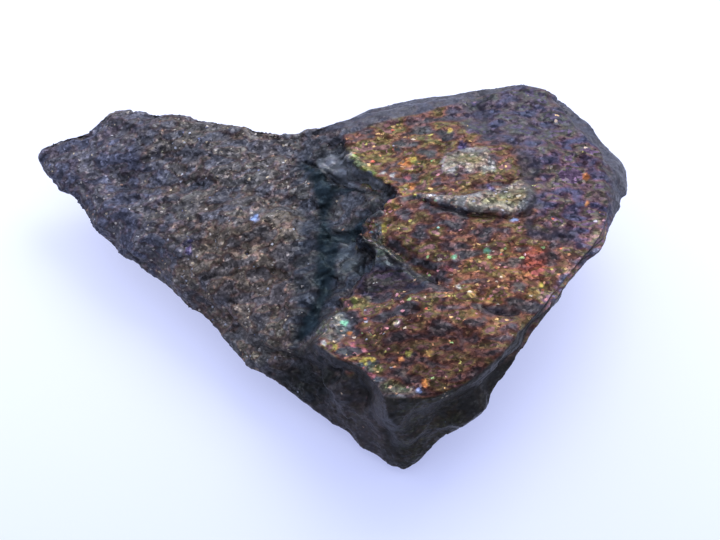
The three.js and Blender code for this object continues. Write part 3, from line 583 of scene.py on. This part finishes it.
class Shader:
    """Builds the nodes of one material or world."""

    def __init__(self, owner):
        owner.use_nodes = True
        self.tree = owner.node_tree

    def node(self, kind, settings, inputs):
        """Adds a node, sets it up, feeds its sockets and returns its outputs by name."""
        node = self.tree.nodes.new(kind)
        for name, setting in settings.items():
            if name == "stops":
                ramp = node.color_ramp
                while len(ramp.elements) < len(setting):
                    ramp.elements.new(1)
                for element, (position, colour) in zip(ramp.elements, setting):
                    element.position = position
                    element.color = (*colour, 1)
            elif name == "interpolation":
                node.color_ramp.interpolation = setting
            else:
                setattr(node, name, setting)
        self.feed(node, inputs)
        return {socket.name: Value(self, socket) for socket in node.outputs if socket.enabled}

    def feed(self, node, inputs):
        for name, value in inputs.items():
            socket = node.inputs[name]
            if isinstance(value, Value):
                self.tree.links.new(value.socket, socket)
            else:
                socket.default_value = value

    def mix(self, share, first, second, how="MIX"):
        """Mixes two colours."""
        factor, a, b = 0, 6, 7  # places of a Mix node's colour sockets
        settings = {"data_type": "RGBA", "blend_type": how, "clamp_factor": True}
        return self.node("ShaderNodeMix", settings, {factor: share, a: first, b: second})["Result"]

    def multiplied(self, first, second):
        """Multiplies two colours."""
        return self.mix(1, first, second, "MULTIPLY")

    def vector(self, operation, *values):
        return self.node("ShaderNodeVectorMath", {"operation": operation}, dict(enumerate(values)))["Vector"]

    def scaled(self, vector, amount):
        inputs = {0: vector, "Scale": amount}
        return self.node("ShaderNodeVectorMath", {"operation": "SCALE"}, inputs)["Vector"]

    def place(self, output="Object"):
        """Where a point is on its piece, or for a world which way it lies."""
        return self.node("ShaderNodeTexCoord", {}, {})[output]

    def rearward(self, place):
        """The part of a place or a way that points to +Y."""
        return self.node("ShaderNodeSeparateXYZ", {}, {"Vector": place})["Y"]

    def field(self, name, output="Fac"):
        """What the mesh's points carry under a name."""
        return self.node("ShaderNodeAttribute", {"attribute_name": name}, {})[output]

    def ramp(self, value, stops, interpolation="LINEAR"):
        settings = {"interpolation": interpolation, "stops": stops}
        return self.node("ShaderNodeValToRGB", settings, {"Fac": value})["Color"]

    def soft_step(self, value, low, high):
        """0 at low, 1 at high and a smooth step between them."""
        inputs = {"Value": value, "From Min": low, "From Max": high}
        return self.node("ShaderNodeMapRange", {"interpolation_type": "SMOOTHSTEP"}, inputs)["Result"]


# ---------------------------------------------------------------- the ore's material

WHITE = (1, 1, 1, 1)

# Colours that the tarnish drifts through. Only their balance counts: the look's tint sets their mean.
ARM_DRIFT = [
    (0, (0.94, 0.96, 1.02)), (0.3, (0.97, 0.98, 0.98)), (0.46, (1, 0.8, 0.78)), (0.62, (1.17, 0.91, 0.76)),
    (0.8, (1.09, 1.03, 0.82)), (1, (1.18, 1.11, 1)),
]
PLATE_DRIFT = [
    (0, (0.55, 0.43, 0.39)), (0.14, (0.73, 0.41, 0.36)), (0.34, (1.13, 0.4, 0.32)),
    (0.5, (1.55, 0.46, 0.23)), (0.66, (1.35, 0.54, 0.26)), (0.8, (1.68, 0.79, 0.22)),
    (0.92, (1.22, 0.81, 0.26)), (1, (1.65, 0.6, 0.5)),
]
DRIFT_SPAN = (0.32, 0.68)  # noise from the first to the second of these runs through the whole drift

# Colours of single bright flecks, partly coloured grains and partly painted glints: how many of each there
# are, and their reflectance.
ARM_FLECKS = [
    (35, (0.36, 0.32, 0.26)), (25, (0.38, 0.31, 0.2)), (14, (0.3, 0.31, 0.33)), (12, (0.25, 0.15, 0.1)),
    (4, (0.14, 0.16, 0.25)), (4, (0.6, 0.58, 0.54)), (6, (0.36, 0.35, 0.22)),
]
PLATE_FLECKS = [
    (8, (0.36, 0.31, 0.08)), (24, (0.5, 0.31, 0.12)), (20, (0.48, 0.22, 0.1)), (16, (0.46, 0.2, 0.2)),
    (14, (0.5, 0.4, 0.28)), (6, (0.25, 0.36, 0.13)), (2, (0.25, 0.45, 0.36)), (2, (0.2, 0.16, 0.36)),
    (6, (0.5, 0.12, 0.07)), (2, (0.3, 0.3, 0.33)),
]
RAREST, PER_GLINT = 1.3, 0.24  # the chance that a fleck has to beat, and how much a glint of 1 takes off it
RAGGED = 0.9  # how far the flecks' outlines stray, in cells

# How light grains, the crumbs in them, the gaps round them and the flecks are.
GRAIN_TONES = [(0, 0.7), (0.5, 0.95), (0.85, 1.2), (1, 1.55)]
CRUMB_TONES = [(0, 0.7), (0.6, 0.93), (0.88, 1.28), (1, 1.8)]
GAP_TONES = [(0.3, 1.05), (0.75, 0.7)]
FLECK_TONES = [(0, 0.45), (1, 1.05)]
GRAIN_TILT, CRUMB_TILT = 0.45, 0.4  # how far the facets turn from the surface

# The two kinds of ore: the turn of the bedding, the hues it drifts through, the length and width of a patch
# of one hue, of a grain, of a crumb in it and of the cell that holds a fleck, and how far a grain's own hue
# strays from its patch's.
ARM_ORE = dict(turn=ARM_TURN, drift=ARM_DRIFT, patch=(2.8, 1.6), grain=(0.6, 0.46), crumb=(0.3, 0.24),
               fleck=(0.42, 0.34), own_hue=0.15)
PLATE_ORE = dict(turn=PLATE_TURN, drift=PLATE_DRIFT, patch=(3.2, 1.5), grain=(0.7, 0.44), crumb=(0.34, 0.26),
                 fleck=(0.62, 0.42), own_hue=0.2)


def even_stops(drift):
    """Stops of a smooth ramp of colours, scaled so that their mean is white."""
    at = np.array([position for position, _ in drift])
    colours = np.array([colour for _, colour in drift])
    mean = np.sum((colours[1:] + colours[:-1]) / 2 * np.diff(at)[:, None], axis=0)
    return [(position, tuple(np.array(colour) / mean)) for position, colour in drift]


def grey_stops(tones):
    return [(position, (tone,) * 3) for position, tone in tones]


def share_stops(palette):
    """Stops of a stepped ramp from shares and colours."""
    shares = np.array([share for share, _ in palette], float)
    starts = (np.cumsum(shares) - shares) / shares.sum()
    return [(start, colour) for start, (_, colour) in zip(starts, palette)]


class OreShader(Shader):
    """Nodes that make grains of ore out of places on the stone."""

    def __init__(self, owner):
        super().__init__(owner)
        self.place_on_stone = self.place()

    def stretched(self, length, width, turn):
        """Places counted in cells of the bedding."""
        return self.node("ShaderNodeMapping", {"vector_type": "TEXTURE"}, {
            "Vector": self.place_on_stone, "Rotation": (0, 0, turn),
            "Scale": (length * MM, width * MM, width * MM)})["Vector"]

    def noise(self, vector, scale):
        return self.node("ShaderNodeTexNoise", {"noise_dimensions": "3D"}, {
            "Vector": vector, "Scale": scale, "Detail": 1, "Roughness": 0.6})

    def off_middle(self, colour, amount):
        """A colour's three parts as a vector about zero."""
        return self.scaled(self.vector("SUBTRACT", colour, (0.5, 0.5, 0.5)), amount)

    def cells(self, size, turn, ragged=0):
        """Grains: random numbers for each, and how far a point lies from its grain's middle."""
        vector = self.stretched(*size, turn)
        if ragged:
            vector = self.vector("ADD", vector, self.off_middle(self.noise(vector, 2)["Color"], ragged))
        made = self.node("ShaderNodeTexVoronoi", {"voronoi_dimensions": "3D", "feature": "F1"}, {
            "Vector": vector, "Scale": 1, "Randomness": 1})
        random = self.node("ShaderNodeSeparateColor", {}, {"Color": made["Color"]})
        return {"facet": made["Color"], "hue": random["Red"], "tone": random["Green"],
                "pick": random["Blue"], "away": made["Distance"]}

    def ore(self, turn, drift, patch, grain, crumb, fleck, own_hue):
        """Hue, tone and tilt of one kind of ore, and its flecks."""
        drifting = self.soft_step(self.noise(self.stretched(*patch, turn), 1)["Fac"], *DRIFT_SPAN)
        grain = self.cells(grain, turn)
        crumb = self.cells(crumb, turn)
        spot = self.cells(fleck, turn, RAGGED)
        hue = self.ramp(drifting + own_hue * (grain["hue"] - 0.5), even_stops(drift))
        tone = self.multiplied(self.ramp(grain["tone"], grey_stops(GRAIN_TONES)),
                               self.ramp(crumb["tone"], grey_stops(CRUMB_TONES)))
        tone = self.multiplied(tone, self.ramp(grain["away"], grey_stops(GAP_TONES)))
        tilt = self.vector("ADD", self.off_middle(grain["facet"], GRAIN_TILT),
                           self.off_middle(crumb["facet"], CRUMB_TILT))
        radius = 0.2 + 0.4 * spot["tone"]
        return {"hue": hue, "tone": tone, "tilt": tilt,
                "near": 1 - self.soft_step(spot["away"] / radius, 0.5, 1), "fleck hue": spot["hue"],
                "fleck tone": spot["tone"], "chance": spot["pick"] + 0.3 * drifting}


def ore_material():
    material = bpy.data.materials.new("tarnished_ore")
    shader = OreShader(material)
    arm = shader.ore(**ARM_ORE)
    plate = shader.ore(**PLATE_ORE)
    on_plate = shader.field("plate")
    tint = shader.field("tint", "Vector")
    grainy = shader.field("grainy")
    rainbow = shader.field("rainbow")
    glint = shader.field("glint")

    def either(name):
        return shader.mix(on_plate, arm[name], plate[name])

    # The look's tint, with each grain's own hue and tone.
    hue = shader.mix(rainbow, arm["hue"], plate["hue"])
    colour = shader.multiplied(tint, shader.mix(grainy, WHITE, hue))
    colour = shader.multiplied(colour, shader.mix(grainy, WHITE, either("tone")))

    # The flecks that chance and glint let show, partly coloured grains and partly painted glints.
    fleck_hue = either("fleck hue")
    fleck = shader.mix(rainbow, shader.ramp(fleck_hue, share_stops(ARM_FLECKS), "CONSTANT"),
                       shader.ramp(fleck_hue, share_stops(PLATE_FLECKS), "CONSTANT"))
    fleck = shader.multiplied(fleck, shader.ramp(either("fleck tone"), grey_stops(FLECK_TONES)))
    shows = (either("chance") > RAREST - PER_GLINT * glint) * either("near")
    colour = shader.mix(shows, colour, fleck)

    # Each grain is a small facet that catches the light its own way.
    normal = shader.node("ShaderNodeNewGeometry", {}, {})["Normal"]
    tilted = shader.vector("ADD", normal, shader.scaled(either("tilt"), grainy))
    shader.feed(shader.tree.nodes["Principled BSDF"], {
        "Base Color": colour, "Metallic": 0.5, "Roughness": 0.42, "Specular IOR Level": 0.12,
        "Normal": shader.vector("NORMALIZE", tilted)})
    return material


piece = make_stone()
piece.data.materials.append(ore_material())
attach(piece, "root")
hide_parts("ore_chunk")

# ---------------------------------------------------------------- stage

FLOOR_HALF, FLOOR_DROP = 2, 0.00002  # in metres; the drop keeps the floor off the stone's resting spot
GLOW_DEPTH = 0.08  # metres from front to back over which the paper's glow changes


def paper_material():
    """Paper with a glow of its own, darker and bluer towards the front."""
    paper = bpy.data.materials.new("paper")
    shader = Shader(paper)
    back = shader.rearward(shader.place())
    glow = shader.ramp(0.5 + back / GLOW_DEPTH, [(0, (0.25, 0.28, 0.52)), (1, (0.54, 0.56, 0.74))])
    shader.feed(shader.tree.nodes["Principled BSDF"], {
        "Base Color": (0.36, 0.37, 0.38, 1), "Roughness": 0.9, "Specular IOR Level": 0,
        "Emission Color": glow, "Emission Strength": 1})
    return paper


def make_floor():
    sheet = bmesh.new()
    bmesh.ops.create_grid(sheet, x_segments=1, y_segments=1, size=FLOOR_HALF)
    bmesh.ops.translate(sheet, verts=sheet.verts, vec=(0, 0, -FLOOR_DROP))
    mesh = bpy.data.meshes.new("floor")
    sheet.to_mesh(mesh)
    sheet.free()
    mesh.materials.append(paper_material())
    return add_object("floor", mesh)


def light_room():
    """Cool light from all round, stronger from the back."""
    room = bpy.data.worlds.new("room")
    shader = Shader(room)
    back = shader.rearward(shader.place("Generated"))
    shader.feed(shader.tree.nodes["Background"], {"Color": (0.66, 0.72, 1, 1), "Strength": 1.9 + 1.4 * back})
    bpy.context.scene.world = room


def hang_window():
    """A soft warm light behind the stone and above it, turned to face it."""
    light = bpy.data.lights.new("window", "AREA")
    light.shape = "RECTANGLE"
    light.size = 0.26
    light.size_y = 0.2
    light.energy = 1
    light.color = (1, 0.97, 0.92)
    window = add_object("window", light)
    window.location = (0.1, 0.24, 0.3)
    window.rotation_euler = (-window.location).to_track_quat("-Z", "Y").to_euler()


def aim_camera():
    """A long lens that looks down on the stone at 60 degrees."""
    optics = bpy.data.cameras.new("camera")
    optics.lens = 108
    optics.sensor_width = 36
    optics.clip_start = 0.01
    camera = add_object("camera", optics)
    camera.location = (3.58 * MM, -124.98 * MM, 224.5 * MM)
    camera.rotation_euler = (radians(30), 0, 0)
    bpy.context.scene.camera = camera


floor = make_floor()
light_room()
hang_window()
aim_camera()
bpy.context.scene.view_settings.view_transform = "Standard"
